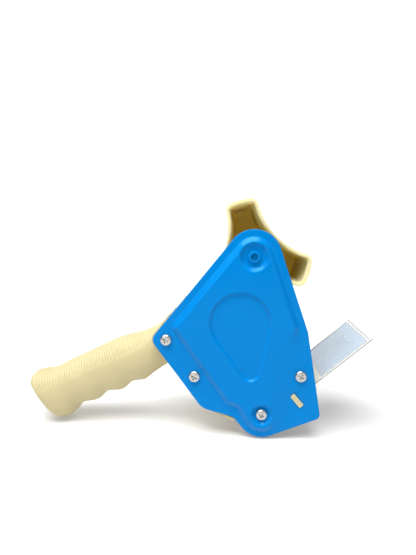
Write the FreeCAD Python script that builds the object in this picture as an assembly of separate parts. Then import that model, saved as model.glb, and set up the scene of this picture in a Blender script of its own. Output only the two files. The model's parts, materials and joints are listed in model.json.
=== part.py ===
import FreeCAD, Part
import math
import os

# Hand-held packing tape dispenser, one pressed steel side plate with everything cantilevered from it.
# The sizes below are in millimetres, in a drawing frame with its origin on the tape hub's axis:
# +X towards the flap and blade, +Y from the steel plate towards the open side, +Z up, with the
# dispenser standing on its roller and on the butt of its handle.
# ROW_ORIGIN is the middle of the assembly's footprint, at floor height, and becomes the part's origin.
ROW_ORIGIN = (-43.085, 28.6, -125.9)

# ---- side plate: signed corner circles (x, z, radius); a negative radius is a concave corner ----
SHEET = 1.2
BLANK_T = 12.0  # the block whose face gives the plate its form
PLATE_CORNERS = [
    (0.0, 0.0, 18.2),  # nose round the hub axis
    (-62.8, -57.4, 6.0),  # handle corner
    (-27.9, -94.6, 12.0),  # belly corner
    (-16.6, -116.2, -6.0),  # notch before the roller
    (6.0, -107.9, 16.8),  # lobe round the roller axis
    (41.6, -107.3, 4.0),  # blade corner
    (16.9, -55.1, 20.0),  # bend in the front edge
]
PANEL_RISE = 2.8
PANEL_HALF_SLOPE = 1.4
PANEL_CORNERS = [
    (0.0, 0.0, 11.9),
    (-50.8, -48.2, 3.0),
    (-15.2, -96.5, 4.0),
    (-12.1, -105.1, -3.0),
    (6.0, -107.9, 11.2),
    (25.2, -47.3, 4.0),
]
DIMPLE_DEPTH = 2.4
HUB_DIMPLE_R = 7.4
ROLLER_DIMPLE_R = 5.0
DIMPLE_SLOPE = 2.3
TEARDROP_DEPTH = 1.6
TEARDROP_HALF_SLOPE = 1.1
TEARDROP = [(-8.9, -44.4, 20.2), (-2.0, -77.6, 6.4)]
DIMPLE_FLOOR = DIMPLE_DEPTH - PANEL_RISE  # outer face of both dimple floors
DIMPLE_BACK = DIMPLE_FLOOR + SHEET

JOIN = 1e-4  # tangent circles closer than this share their point of contact
FAR = 200.0  # a distance beyond every part of the dispenser
OVER = 1.0  # cutting solids stand this far out of what they cut

# ---- fasteners ----
FIT = 0.02  # radial room round a screw in its hole
RUN = 0.05  # radial running clearance
CLEARANCE = 0.2  # radial room round a screw in a clearance hole
BLIND = 1.5  # floor of a blind screw hole in a boss
M4_R = 2.0
M4_HEAD_R = 3.9
M4_HEAD_H = 2.4
M3_R = 1.5
M3_HEAD_R = 2.8
M3_HEAD_H = 2.0
GRIP_PLATE_SCREWS = [(-59.5, -57.0), (-40.1, -82.3)]
HOLDER_SCREW = (32.1, -80.5)
PLATE_SCREW_LENGTH = 10.0

# ---- roller ----
ROLLER_X, ROLLER_Z = 6.0, -107.9
ROLLER_R = 18.0
SLEEVE_T = 2.6
AXLE_R = 4.0
AXLE_END = 56.6
ROLLER_NEAR, ROLLER_FAR = 3.5, 55.5
SPACER_T = 1.9
SPACER_R = 7.0
CORE_WALL = 1.8
BEARING_WALL = 2.2
CORE_PLAY = 0.4  # end play of the bearing tube between the spacer and the end washer
CORE_WEB_T = 2.0
CORE_RIBS = 6
CORE_RIB_T = 1.4
CORE_RIB_HALF = 23.0
AXLE_HOLE_DEPTH = 11.0

# ---- hub: three arms that carry a 76 mm tape core ----
HUB_END_R = 37.6
HUB_NEAR, HUB_FAR = 4.2, 54.2
HUB_FLOOR_T = 2.5
HUB_ARM_ANGLE = 104.2  # direction of the arm that points up, degrees from +X towards +Z
HUB_FLANK_R = 49.0
HUB_FLANK_CENTRE = 68.0
HUB_CORNER_R = 4.0
HUB_END_T = 1.7
HUB_FLANK_T = 1.2
HUB_DRAFT = 2.0  # the hollow narrows by this much all round, from the rim to the floor
HUB_LIP = 1.2  # the tape stop stands out this far round the near rim
HUB_LIP_T = 2.2
RIM_STEP = 0.7
RIM_STEP_DEPTH = 1.0
HUB_BOSS_R = 8.0
HUB_BOSS_NEAR = 3.7
HUB_RIM_ROUND = 1.8
HUB_RIB_REACH = 21.0
HUB_RIB_LENGTH = 40.0
HUB_RIB_T = 1.6
POCKET_R = 12.2
POCKET_WALL = 1.8
POCKET_FLOOR = 40.5
POCKET_FLOOR_T = 2.5

# ---- hub stud and friction brake ----
STUD_R = 5.0
STUD_END = 44.0
STUD_COLLAR_R = 7.5
STUD_COLLAR_T = 1.8
RIVET_NECK_R = 3.25
RIVET_RING_R = 4.15
RIVET_RING_T = 1.5
RIVET_RING_ROUND = 0.8
RIVET_HOLE_R = 2.2
RIVET_HOLE_END = 8.0
NEAR_WASHER_R = 9.0
FAR_WASHER_R = 11.0
WASHER_ROOM = 0.1  # radial room of a washer on the stud or axle
WASHER_T = 1.0
FACE_GAP = 0.05
SPRING_END = 50.0
SPRING_R = 6.4
SPRING_WIRE_R = 0.7
SPRING_TURNS = 3.5
CUP_R = 9.0
CUP_WALL = 1.0
CUP_DEPTH = 2.5
M5_R = 2.5
TENSION_HEAD_R = 5.0
TENSION_HEAD_H = 3.2
TENSION_SCREW_TIP = 28.0
TAPPED_TIP = 26.0

# ---- blade holder: its own axes, s along the flap and t at right angles to it, down and forward ----
HOLDER_X, HOLDER_Z = 30.0, -98.0
FLAP_ANGLE = 40.6
TAB_HALF_LENGTH = 4.85
TAB_HALF_WIDTH = 1.6
TAB_PROUD = 0.5
TAB_CORNER = 0.5
TAB_RIM = 0.7  # rim left round the recess in the tab's end
TAB_RECESS = 0.7
WEB_TOP, WEB_END = -8.0, 14.0
CHEEK_T = 2.2
CHEEK_CORNERS = [(25.0, -91.0, 2.6), (35.6, -105.2, 3.0), (39.4, -92.0, 2.0)]
CHEEK_TOP_R = 5.4
SLOT_GAP = 0.2
LEG_END = 16.0
LEG_T = 2.2
FLAP_HALF_T = 0.5
FLAP_ROOT, FLAP_END = 2.0, 66.0
FLAP_CORNER = 1.5
TAIL_GAP = 0.8  # from the clamped root to the line where the sheet bends
FLAP_NEAR, FLAP_FAR = 4.0, 60.0
HINGE_S = 23.0
BLADE_T = 0.8
BLADE_TOP = 5.5
BLADE_ROOT = 16.6
BLADE_TIP = 18.6
BLADE_NEAR, BLADE_FAR = 5.0, 59.0
TOOTH_COUNT = 27
CLAMP_SCREW_S = 10.4
CLAMP_SCREW_Y = (17.0, 47.0)
CLAMP_TOP = -2.9
CLAMP_START, CLAMP_END = 3.2, 17.5
CLAMP_NEAR, CLAMP_FAR = 6.0, 58.0
CLAMP_SCREW_LENGTH = 6.0
BLADE_SCREW_LENGTH = 3.8
BLADE_SCREW_T = 9.6
BLADE_SCREW_Y = (17.0, 47.0)

# ---- frame moulding: wall between the handle and the roller, and the flange behind the plate ----
FRAME_NEAR, FRAME_FAR = 1.3, 57.0
WALL_HALF_T = 1.0
WALL_TOP = (-52.6, -35.8)
WALL_CORNER = (-62.8, -57.4, 6.8)
WALL_BELLY = (-26.5, -94.6, 12.6)
WALL_END = (-13.6, -113.1)
FLANGE_T = 2.5
FLANGE_CORNERS = [(-17.0, -108.2, 1.6), (-47.0, -52.0, 4.0)]
TAPE_SIDE_CORNERS = [(40.0, -100.0, 1.0), (20.0, 20.0, 1.0)]  # well inside the tape side of the wall
BOSS_R = 4.3
BOSS_END = 14.0

# ---- grip: its own axes, s down the handle from GRIP_ROOT and h square to it, upwards ----
GRIP_ROOT = (-60.0, -61.0)
GRIP_ANGLE = 23.7
GRIP_MID = 24.0
GRIP_HALF_DEPTH = 15.5
GRIP_ROUND = 8.0
GRIP_WALL = 2.2
FINGER_R = 11.0
FINGER_VALLEYS = [82.0, 60.5, 39.0]
FINGER_PITCH = 21.5
VALLEY_H = -19.4
PEAK_H = -21.9
BUTT_R = 8.5
BUTT_TOP = (103.5, 8.3)
BUTT_LOW_S = 98.3
GRIP_TOP = [(-28.0, 6.0, 9.0), (9.0, 32.1, -20.0), (46.0, -45.2, 60.0), (89.5, 26.6, -14.0)]
GRIP_NECK = (-22.0, -8.0, 9.0)
GRIP_SCREW_S = [27.0, 61.0, 95.0]
GRIP_SCREW_H = -2.5
GRIP_POST_R = 3.6
GRIP_SCREW_SEAT = 34.0
GRIP_SCREW_LENGTH = 20.0
COUNTERBORE_R = 3.1
COVER_POST_R = 4.8


def spot(x, y, z):
    """A point of the drawing frame."""
    return FreeCAD.Vector(x, y, z)


def save(name, shape):
    """Writes one sub-part, moved from the drawing frame to the part's own origin."""
    placed = shape.copy()
    placed.translate(spot(-ROW_ORIGIN[0], -ROW_ORIGIN[1], -ROW_ORIGIN[2]))
    placed.exportStep("parts/" + name + ".step")


def rod(x, z, radius, y0, y1):
    """A cylinder along +Y."""
    return Part.makeCylinder(radius, y1 - y0, spot(x, y0, z), spot(0, 1, 0))


def belt(circles, y):
    """A closed wire in the plane at y: tangent lines and arcs round the signed circles, in order."""
    count = len(circles)
    turns = []
    for i in range(count):
        x0, z0, r0 = circles[i]
        x1, z1, r1 = circles[(i + 1) % count]
        reach = math.hypot(x1 - x0, z1 - z0)
        lean = math.asin(max(-1.0, min(1.0, (r0 - r1) / reach)))
        turns.append(math.atan2(z1 - z0, x1 - x0) + lean)

    def touch(circle, heading):
        return spot(circle[0] + circle[2] * math.sin(heading), y, circle[1] - circle[2] * math.cos(heading))

    ends = [touch(circles[i], turns[i]) for i in range(count)]
    starts = [touch(circles[i], turns[i - 1]) for i in range(count)]
    for i in range(count):
        if starts[i].distanceToPoint(ends[i - 1]) < JOIN:
            starts[i] = ends[i - 1]
    edges = []
    for i in range(count):
        swing = (turns[i] - turns[i - 1]) % (2 * math.pi)
        if circles[i][2] < 0:
            swing -= 2 * math.pi
        middle = touch(circles[i], turns[i - 1] + swing / 2)
        edges.append(Part.Arc(starts[i], middle, ends[i]).toShape())
        following = starts[(i + 1) % count]
        if ends[i].distanceToPoint(following) > JOIN:
            edges.append(Part.LineSegment(ends[i], following).toShape())
    return Part.Wire(edges)


def prism(circles, y0, y1):
    """The belt's outline as a straight solid from y0 to y1."""
    return Part.Face(belt(circles, y0)).extrude(spot(0, y1 - y0, 0))


def grown(circles, by):
    """The same outline, moved outwards."""
    return [(x, z, r + by) for x, z, r in circles]


def frustum(circles, y0, grow0, y1, grow1):
    """The outline as a solid with sloping sides: grown by grow0 at y0 and by grow1 at y1."""
    wires = [belt(grown(circles, grow0), y0), belt(grown(circles, grow1), y1)]
    return Part.makeLoft(wires, True, True)


def pan_screw(radius, length, head_radius, head_height):
    """A cross-recess pan head screw: its seat is at y = 0, its shank along +Y and its head along -Y."""
    head = rod(0, 0, head_radius, -head_height, 0)
    rim = [e for e in head.Edges if abs(e.BoundBox.YMin + head_height) < 1e-6 and e.BoundBox.YLength < 1e-6]
    head = head.makeFillet(head_height * 0.62, rim)
    screw = head.fuse(rod(0, 0, radius, 0, length))
    arm, half_width, depth = head_radius * 0.52, head_radius * 0.11, head_height * 0.6
    for turn in (0, 90):
        bar = Part.makeBox(2 * arm, depth + 1, 2 * half_width, spot(-arm, -head_height - 1, -half_width))
        bar.rotate(spot(0, 0, 0), spot(0, 1, 0), turn + 25)
        screw = screw.cut(bar)
    return screw.removeSplitter()


def placed_screw(screw, x, y, z, turn=0):
    """A copy of a screw with its seat at a point, first turned about the +X axis."""
    copy = screw.copy()
    copy.rotate(spot(0, 0, 0), spot(1, 0, 0), turn)
    copy.translate(spot(x, y, z))
    return copy


def side_plate():
    """The pressed steel plate: raised panel, teardrop and two dimples, five holes and the tab's slot."""
    solid = Part.makeBox(2 * FAR, BLANK_T, 2 * FAR, spot(-FAR, 0, -FAR))
    solid = solid.fuse(frustum(PANEL_CORNERS, 0.0, PANEL_HALF_SLOPE, -PANEL_RISE, -PANEL_HALF_SLOPE))
    over = OVER / 2
    spread = TEARDROP_HALF_SLOPE * (1 + 2 * over / TEARDROP_DEPTH)
    solid = solid.cut(frustum(TEARDROP, -PANEL_RISE - over, spread,
                              TEARDROP_DEPTH - PANEL_RISE, -TEARDROP_HALF_SLOPE))
    for x, z, floor_r in ((0.0, 0.0, HUB_DIMPLE_R), (ROLLER_X, ROLLER_Z, ROLLER_DIMPLE_R)):
        mouth_r = floor_r + DIMPLE_SLOPE * (1 + over / DIMPLE_DEPTH)
        solid = solid.cut(Part.makeCone(mouth_r, floor_r, DIMPLE_DEPTH + over,
                                        spot(x, -PANEL_RISE - over, z), spot(0, 1, 0)))
    back = solid.copy()
    back.translate(spot(0, SHEET, 0))
    plate = solid.cut(back).common(prism(PLATE_CORNERS, -FAR, FAR))
    plate = plate.cut(rod(0, 0, RIVET_NECK_R + FIT, -FAR, FAR))
    for x, z in GRIP_PLATE_SCREWS + [HOLDER_SCREW, (ROLLER_X, ROLLER_Z)]:
        plate = plate.cut(rod(x, z, M4_R + CLEARANCE, -FAR, FAR))
    return plate.cut(tab_bar(SLOT_GAP, -BLANK_T, BLANK_T)).removeSplitter()


def holder_point(s, t):
    """A point of the blade holder's own axes, as (x, z)."""
    a = math.radians(FLAP_ANGLE)
    return (HOLDER_X + s * math.cos(a) + t * math.sin(a), HOLDER_Z + s * math.sin(a) - t * math.cos(a))


def holder_bar(s0, s1, t0, t1, y0, y1):
    """A rectangular bar across the tape, lined up with the blade holder."""
    corners = [holder_point(s, t) for s, t in ((s0, t0), (s0, t1), (s1, t1), (s1, t0))]
    loop = [spot(x, y0, z) for x, z in corners]
    return Part.Face(Part.makePolygon(loop + loop[:1])).extrude(spot(0, y1 - y0, 0))


def holder_rod(s, t, y, radius, start, length, along_s):
    """A cylinder square to the flap (along t), or along s, starting at the given s or t."""
    a = math.radians(FLAP_ANGLE)
    if along_s:
        x, z = holder_point(start, t)
        axis = spot(math.cos(a), 0, math.sin(a))
    else:
        x, z = holder_point(s, start)
        axis = spot(math.sin(a), 0, -math.cos(a))
    return Part.makeCylinder(radius, length, spot(x, y, z), axis)


def clamp_screw_hole(y):
    """The hole for a clamp screw, through clamp, flap and holder."""
    start = CLAMP_TOP - OVER
    return holder_rod(CLAMP_SCREW_S, 0, y, M3_R + FIT, start, WEB_END - start, False)


def blade_screw_hole(y):
    """The hole for a blade screw, through blade and holder."""
    start = -TAB_HALF_WIDTH - OVER
    return holder_rod(0, BLADE_SCREW_T, y, M3_R + FIT, start, LEG_END, True)


def tab_bar(gap, y0, y1):
    """The tab that locates the blade holder in the plate, or with a gap, its slot."""
    bar = holder_bar(-TAB_HALF_WIDTH - gap, TAB_HALF_WIDTH + gap,
                     -TAB_HALF_LENGTH - gap, TAB_HALF_LENGTH + gap, y0, y1)
    upright = [e for e in bar.Edges if e.BoundBox.YLength > 0.9 * (y1 - y0)]
    return bar.makeFillet(TAB_CORNER + gap, upright)


def blade_holder():
    """L-section bar with a cheek behind the plate, the tab through it and the boss for its screw."""
    holder = holder_bar(-TAB_HALF_WIDTH, TAB_HALF_WIDTH, WEB_TOP, WEB_END, FRAME_NEAR, FLAP_FAR)
    holder = holder.fuse(holder_bar(0, LEG_END, FLAP_HALF_T, FLAP_HALF_T + LEG_T, FRAME_NEAR, FLAP_FAR))
    cheek = [HOLDER_SCREW + (CHEEK_TOP_R,)] + CHEEK_CORNERS
    holder = holder.fuse(prism(cheek, FRAME_NEAR, FRAME_NEAR + CHEEK_T))
    holder = holder.fuse(tab_bar(0.0, -TAB_PROUD, FRAME_NEAR + CHEEK_T))
    half_s = TAB_HALF_WIDTH - TAB_RIM
    half_t = TAB_HALF_LENGTH - TAB_RIM
    recess_end = TAB_RECESS - TAB_PROUD
    holder = holder.cut(holder_bar(-half_s, half_s, -half_t, half_t, -TAB_PROUD - OVER, recess_end))
    x, z = HOLDER_SCREW
    holder = holder.fuse(rod(x, z, BOSS_R, FRAME_NEAR, BOSS_END))
    holder = holder.cut(rod(x, z, M4_R + FIT, FRAME_NEAR - OVER, BOSS_END - BLIND))
    for y in CLAMP_SCREW_Y:
        holder = holder.cut(clamp_screw_hole(y))
    for y in BLADE_SCREW_Y:
        holder = holder.cut(blade_screw_hole(y))
    return holder.removeSplitter()


def flap_tail():
    """The clamped root of the flap."""
    tail = holder_bar(FLAP_ROOT, HINGE_S - TAIL_GAP, -FLAP_HALF_T, FLAP_HALF_T, FLAP_NEAR, FLAP_FAR)
    for y in CLAMP_SCREW_Y:
        tail = tail.cut(clamp_screw_hole(y))
    return tail


def flap_sheet():
    """The free, springy part of the flap, with a rounded root on the line where it bends."""
    sheet = holder_bar(HINGE_S, FLAP_END, -FLAP_HALF_T, FLAP_HALF_T, FLAP_NEAR, FLAP_FAR)
    ends = [e for e in sheet.Edges
            if e.BoundBox.YLength < 1e-6 and abs(e.Length - 2 * FLAP_HALF_T) < 1e-6
            and e.BoundBox.XMin > holder_point(HINGE_S + 10, 0)[0]]
    sheet = sheet.makeFillet(FLAP_CORNER, ends)
    x, z = holder_point(HINGE_S, 0)
    return sheet.fuse(rod(x, z, FLAP_HALF_T, FLAP_NEAR, FLAP_FAR)).removeSplitter()


def flap_clamp():
    """The strip that holds the flap down on the blade holder."""
    clamp = holder_bar(CLAMP_START, CLAMP_END, CLAMP_TOP, -FLAP_HALF_T, CLAMP_NEAR, CLAMP_FAR)
    for y in CLAMP_SCREW_Y:
        clamp = clamp.cut(clamp_screw_hole(y))
    return clamp


def holder_screws(ys, s, t, length, turn):
    """Small pan head screws in the blade holder; turn sets the shank's direction in the XZ plane."""
    screws = []
    for y in ys:
        screw = pan_screw(M3_R, length, M3_HEAD_R, M3_HEAD_H)
        screw.rotate(spot(0, 0, 0), spot(0, 0, 1), -90)  # shank along +X
        screw.rotate(spot(0, 0, 0), spot(0, 1, 0), turn)
        x, z = holder_point(s, t)
        screw.translate(spot(x, y, z))
        screws.append(screw)
    return Part.makeCompound(screws)


def cutting_blade():
    """The serrated steel strip: a band with a row of pointed teeth along its lower edge."""
    pitch = (BLADE_FAR - BLADE_NEAR) / TOOTH_COUNT
    edge = [(BLADE_NEAR, BLADE_TOP), (BLADE_NEAR, BLADE_ROOT)]
    for i in range(TOOTH_COUNT):
        edge.append((BLADE_NEAR + (i + 0.5) * pitch, BLADE_TIP))
        edge.append((BLADE_NEAR + (i + 1) * pitch, BLADE_ROOT))
    edge.append((BLADE_FAR, BLADE_TOP))
    loop = []
    for y, t in edge:
        x, z = holder_point(TAB_HALF_WIDTH, t)
        loop.append(spot(x, y, z))
    a = math.radians(FLAP_ANGLE)
    blade = Part.Face(Part.makePolygon(loop + loop[:1]))
    blade = blade.extrude(spot(BLADE_T * math.cos(a), 0, BLADE_T * math.sin(a)))
    for y in BLADE_SCREW_Y:
        blade = blade.cut(blade_screw_hole(y))
    return blade


def hub_outline(end_r, flank_r, corner_r):
    """Signed circles of the three-armed outline; corners are tangent to the arm's end and flank."""
    reach = end_r - corner_r
    apart = flank_r + corner_r
    spread = (reach ** 2 + HUB_FLANK_CENTRE ** 2 - apart ** 2) / (2 * reach * HUB_FLANK_CENTRE)
    half_arm = 60.0 - math.degrees(math.acos(spread))

    def polar(distance, angle):
        a = math.radians(angle)
        return distance * math.cos(a), distance * math.sin(a)

    circles = []
    for arm in range(3):
        middle = HUB_ARM_ANGLE + 120.0 * arm
        circles.append(polar(reach, middle - half_arm) + (corner_r,))
        circles.append((0.0, 0.0, end_r))
        circles.append(polar(reach, middle + half_arm) + (corner_r,))
        circles.append(polar(HUB_FLANK_CENTRE, middle + 60.0) + (-flank_r,))
    return circles


def tape_hub():
    """Three-armed cup, open towards the plate, with a bearing tube and a pocket for the brake."""
    outer = prism(hub_outline(HUB_END_R, HUB_FLANK_R, HUB_CORNER_R), HUB_NEAR, HUB_FAR)
    rim = [e for e in outer.Edges if abs(e.BoundBox.YMin - HUB_FAR) < 1e-6 and e.BoundBox.YLength < 1e-6]
    outer = outer.makeFillet(HUB_RIM_ROUND, rim)
    inner = frustum(hub_outline(HUB_END_R - HUB_END_T, HUB_FLANK_R + HUB_FLANK_T, HUB_CORNER_R - 1.0),
                    HUB_NEAR, 0.0, HUB_FAR - HUB_FLOOR_T, -HUB_DRAFT)
    lip_outline = grown(hub_outline(HUB_END_R, HUB_FLANK_R, HUB_CORNER_R), HUB_LIP)
    lip = prism(lip_outline, HUB_NEAR, HUB_NEAR + HUB_LIP_T)
    step = prism(hub_outline(HUB_END_R - HUB_END_T + RIM_STEP, HUB_FLANK_R + HUB_FLANK_T - RIM_STEP,
                             HUB_CORNER_R - 1.0), HUB_NEAR - OVER, HUB_NEAR + RIM_STEP_DEPTH)
    hub = outer.fuse(lip).cut(inner).cut(step)
    hub = hub.fuse(rod(0, 0, HUB_BOSS_R, HUB_BOSS_NEAR, POCKET_FLOOR))
    hub = hub.fuse(rod(0, 0, POCKET_R + POCKET_WALL, POCKET_FLOOR - POCKET_FLOOR_T, HUB_FAR))
    for arm in range(3):
        start = spot(0, HUB_FAR - 1 - HUB_RIB_LENGTH, -HUB_RIB_T / 2)
        rib = Part.makeBox(HUB_RIB_REACH, HUB_RIB_LENGTH, HUB_RIB_T, start)
        rib.rotate(spot(0, 0, 0), spot(0, 1, 0), -(HUB_ARM_ANGLE + 60.0 + 120.0 * arm))
        hub = hub.fuse(rib.common(outer))
    hub = hub.cut(rod(0, 0, POCKET_R, POCKET_FLOOR, HUB_FAR + OVER))
    return hub.cut(rod(0, 0, STUD_R + RUN, HUB_BOSS_NEAR - OVER, HUB_FAR)).removeSplitter()


def hub_stud():
    """Steel stud riveted into the plate: hollow flared end outside, tapped hole in the far end."""
    collar_end = DIMPLE_BACK + STUD_COLLAR_T
    ring = rod(0, 0, RIVET_RING_R, DIMPLE_FLOOR - RIVET_RING_T, DIMPLE_FLOOR)
    crest = [e for e in ring.Edges if abs(e.BoundBox.YMax - DIMPLE_FLOOR + RIVET_RING_T) < 1e-6]
    stud = ring.makeFillet(RIVET_RING_ROUND, crest)
    stud = stud.fuse(rod(0, 0, RIVET_NECK_R, DIMPLE_FLOOR - RUN, DIMPLE_BACK + RUN))
    stud = stud.fuse(rod(0, 0, STUD_COLLAR_R, DIMPLE_BACK, collar_end))
    stud = stud.fuse(rod(0, 0, STUD_R, collar_end, STUD_END))
    stud = stud.cut(rod(0, 0, RIVET_HOLE_R, -FAR, RIVET_HOLE_END))
    return stud.cut(rod(0, 0, M5_R + RUN, TAPPED_TIP, STUD_END + OVER)).removeSplitter()


def ring(x, z, outer_r, inner_r, y0, y1):
    """A plain washer or tube along +Y."""
    return rod(x, z, outer_r, y0, y1).cut(rod(x, z, inner_r, y0 - OVER, y1 + OVER))


def tension_spring():
    """The compression spring of the hub's brake."""
    seat = POCKET_FLOOR + FACE_GAP + WASHER_T
    height = SPRING_END - seat - 2 * SPRING_WIRE_R
    coil = Part.makeHelix(height / SPRING_TURNS, height, SPRING_R)
    section = Part.Wire(Part.makeCircle(SPRING_WIRE_R, spot(SPRING_R, 0, 0), spot(0, 1, 0)))
    spring = Part.Wire(coil).makePipeShell([section], True, True)
    spring.rotate(spot(0, 0, 0), spot(1, 0, 0), -90)
    spring.translate(spot(0, seat + SPRING_WIRE_R, 0))
    return spring


def spring_cup():
    """The cupped washer between the spring and the tension screw's head."""
    cup = rod(0, 0, CUP_R, SPRING_END - CUP_DEPTH, SPRING_END + WASHER_T)
    cup = cup.cut(rod(0, 0, CUP_R - CUP_WALL, SPRING_END - CUP_DEPTH - OVER, SPRING_END))
    return cup.cut(rod(0, 0, M5_R + CLEARANCE, SPRING_END - OVER, SPRING_END + WASHER_T + OVER))


def tension_screw():
    """The M5 screw that sets the hub's drag; its head is in the open face of the hub."""
    seat = SPRING_END + WASHER_T + FACE_GAP
    screw = pan_screw(M5_R, seat - TENSION_SCREW_TIP, TENSION_HEAD_R, TENSION_HEAD_H)
    return placed_screw(screw, 0, seat, 0, 180)


def roller_core():
    """The roller's hollow moulding: outer tube, bearing tube, middle web and six ribs."""
    x, z = ROLLER_X, ROLLER_Z
    outer_r = ROLLER_R - SLEEVE_T
    inner_r = outer_r - CORE_WALL
    core = ring(x, z, outer_r, inner_r, ROLLER_NEAR, ROLLER_FAR)
    bearing_start = DIMPLE_BACK + SPACER_T + CORE_PLAY
    core = core.fuse(rod(x, z, AXLE_R + BEARING_WALL, bearing_start, AXLE_END - CORE_PLAY))
    middle = (ROLLER_NEAR + ROLLER_FAR) / 2
    core = core.fuse(rod(x, z, outer_r - CORE_WALL / 2, middle - CORE_WEB_T / 2, middle + CORE_WEB_T / 2))
    for i in range(CORE_RIBS):
        rib = Part.makeBox(outer_r - CORE_WALL / 2, 2 * CORE_RIB_HALF, CORE_RIB_T,
                           spot(0, middle - CORE_RIB_HALF, -CORE_RIB_T / 2))
        rib.rotate(spot(0, 0, 0), spot(0, 1, 0), 360.0 / CORE_RIBS * i)
        rib.translate(spot(x, 0, z))
        core = core.fuse(rib)
    return core.cut(rod(x, z, AXLE_R + RUN, -FAR, FAR)).removeSplitter()


def roller_axle():
    """The steel axle, tapped at both ends."""
    axle = rod(ROLLER_X, ROLLER_Z, AXLE_R, DIMPLE_BACK, AXLE_END)
    axle = axle.cut(rod(ROLLER_X, ROLLER_Z, M4_R + FIT, DIMPLE_BACK - OVER, DIMPLE_BACK + AXLE_HOLE_DEPTH))
    return axle.cut(rod(ROLLER_X, ROLLER_Z, M4_R + FIT, AXLE_END - AXLE_HOLE_DEPTH, AXLE_END + OVER))


def grip_point(s, h):
    """A point of the grip's own axes, as (x, z)."""
    a = math.radians(GRIP_ANGLE)
    return (GRIP_ROOT[0] - s * math.cos(a) - h * math.sin(a),
            GRIP_ROOT[1] - s * math.sin(a) + h * math.cos(a))


def grip_outline():
    """Side outline of the grip: hollow neck, flared butt on the floor, and three finger hollows."""
    a = math.radians(GRIP_ANGLE)
    floor = ROLLER_Z - ROLLER_R
    butt_low_h = (floor + BUTT_R - GRIP_ROOT[1] + BUTT_LOW_S * math.sin(a)) / math.cos(a)
    circles = GRIP_TOP + [BUTT_TOP + (BUTT_R,), (BUTT_LOW_S, butt_low_h, BUTT_R)]
    for s in FINGER_VALLEYS:
        circles.append((s, VALLEY_H - FINGER_R, -FINGER_R))
        circles.append((s - FINGER_PITCH / 2, PEAK_H + FINGER_R, FINGER_R))
    circles.append(GRIP_NECK)
    return [grip_point(s, h) + (r,) for s, h, r in circles]


def grip_body(inset):
    """The grip with its long edges rounded, shrunk all round by an inset."""
    half = GRIP_HALF_DEPTH - inset
    body = prism(grown(grip_outline(), -inset), GRIP_MID - half, GRIP_MID + half)
    rims = [e for e in body.Edges if e.BoundBox.YLength < 1e-3]
    return body.makeFillet(GRIP_ROUND - inset, rims)


def behind_wall():
    """Everything on the tape side of the frame's outer wall face."""
    circles = [WALL_TOP + (WALL_HALF_T,), WALL_CORNER, WALL_BELLY] + TAPE_SIDE_CORNERS
    return prism(circles, -FAR, FAR)


def grip_halves():
    """The hollow grip without its posts, split on its middle plane: near half, far half and outer solid."""
    outer = grip_body(0.0).cut(behind_wall())
    hollow = grip_body(GRIP_WALL).cut(behind_wall())
    shell = outer.cut(hollow)
    near_side = Part.makeBox(2 * FAR, FAR, 2 * FAR, spot(-FAR, GRIP_MID - FAR, -FAR))
    far_side = Part.makeBox(2 * FAR, FAR, 2 * FAR, spot(-FAR, GRIP_MID, -FAR))
    return shell.common(near_side), shell.common(far_side), outer


def frame_wall():
    """The wall between the handle and the roller, the flange behind the plate, and two screw bosses."""
    thick = 2 * WALL_HALF_T
    corner_in = WALL_CORNER[:2] + (thick - WALL_CORNER[2],)
    belly_in = WALL_BELLY[:2] + (thick - WALL_BELLY[2],)
    strip = [WALL_TOP + (WALL_HALF_T,), WALL_CORNER, WALL_BELLY]
    strip += [WALL_END + (WALL_HALF_T,), belly_in, corner_in]
    wall = prism(strip, FRAME_NEAR, FRAME_FAR)
    flange = [WALL_TOP + (WALL_HALF_T,), WALL_CORNER, WALL_BELLY] + FLANGE_CORNERS
    frame = wall.fuse(prism(flange, FRAME_NEAR, FRAME_NEAR + FLANGE_T))
    for x, z in GRIP_PLATE_SCREWS:
        frame = frame.fuse(rod(x, z, BOSS_R, FRAME_NEAR, BOSS_END))
    for x, z in GRIP_PLATE_SCREWS:
        frame = frame.cut(rod(x, z, M4_R + FIT, FRAME_NEAR - OVER, BOSS_END - BLIND))
    return frame


def grip_near_shell(near_half, outer):
    """The main moulding: near half of the grip with its posts, in one piece with the frame wall."""
    shell = near_half.fuse(frame_wall())
    for s in GRIP_SCREW_S:
        x, z = grip_point(s, GRIP_SCREW_H)
        shell = shell.fuse(rod(x, z, GRIP_POST_R, 0, GRIP_MID).common(outer))
        shell = shell.cut(rod(x, z, M3_R + FIT, GRIP_SCREW_SEAT - GRIP_SCREW_LENGTH - OVER, GRIP_MID + OVER))
    return shell.removeSplitter()


def grip_far_shell(far_half, outer):
    """The cover half of the grip, with counterbored posts for its screws."""
    shell = far_half
    for s in GRIP_SCREW_S:
        x, z = grip_point(s, GRIP_SCREW_H)
        shell = shell.fuse(rod(x, z, COVER_POST_R, GRIP_MID, FRAME_FAR).common(outer))
        shell = shell.cut(rod(x, z, M3_R + FIT, GRIP_MID - OVER, FRAME_FAR))
        shell = shell.cut(rod(x, z, COUNTERBORE_R, GRIP_SCREW_SEAT, FRAME_FAR))
    return shell.removeSplitter()


def plate_screw():
    """One of the five equal M4 screws."""
    return pan_screw(M4_R, PLATE_SCREW_LENGTH, M4_HEAD_R, M4_HEAD_H)


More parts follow.
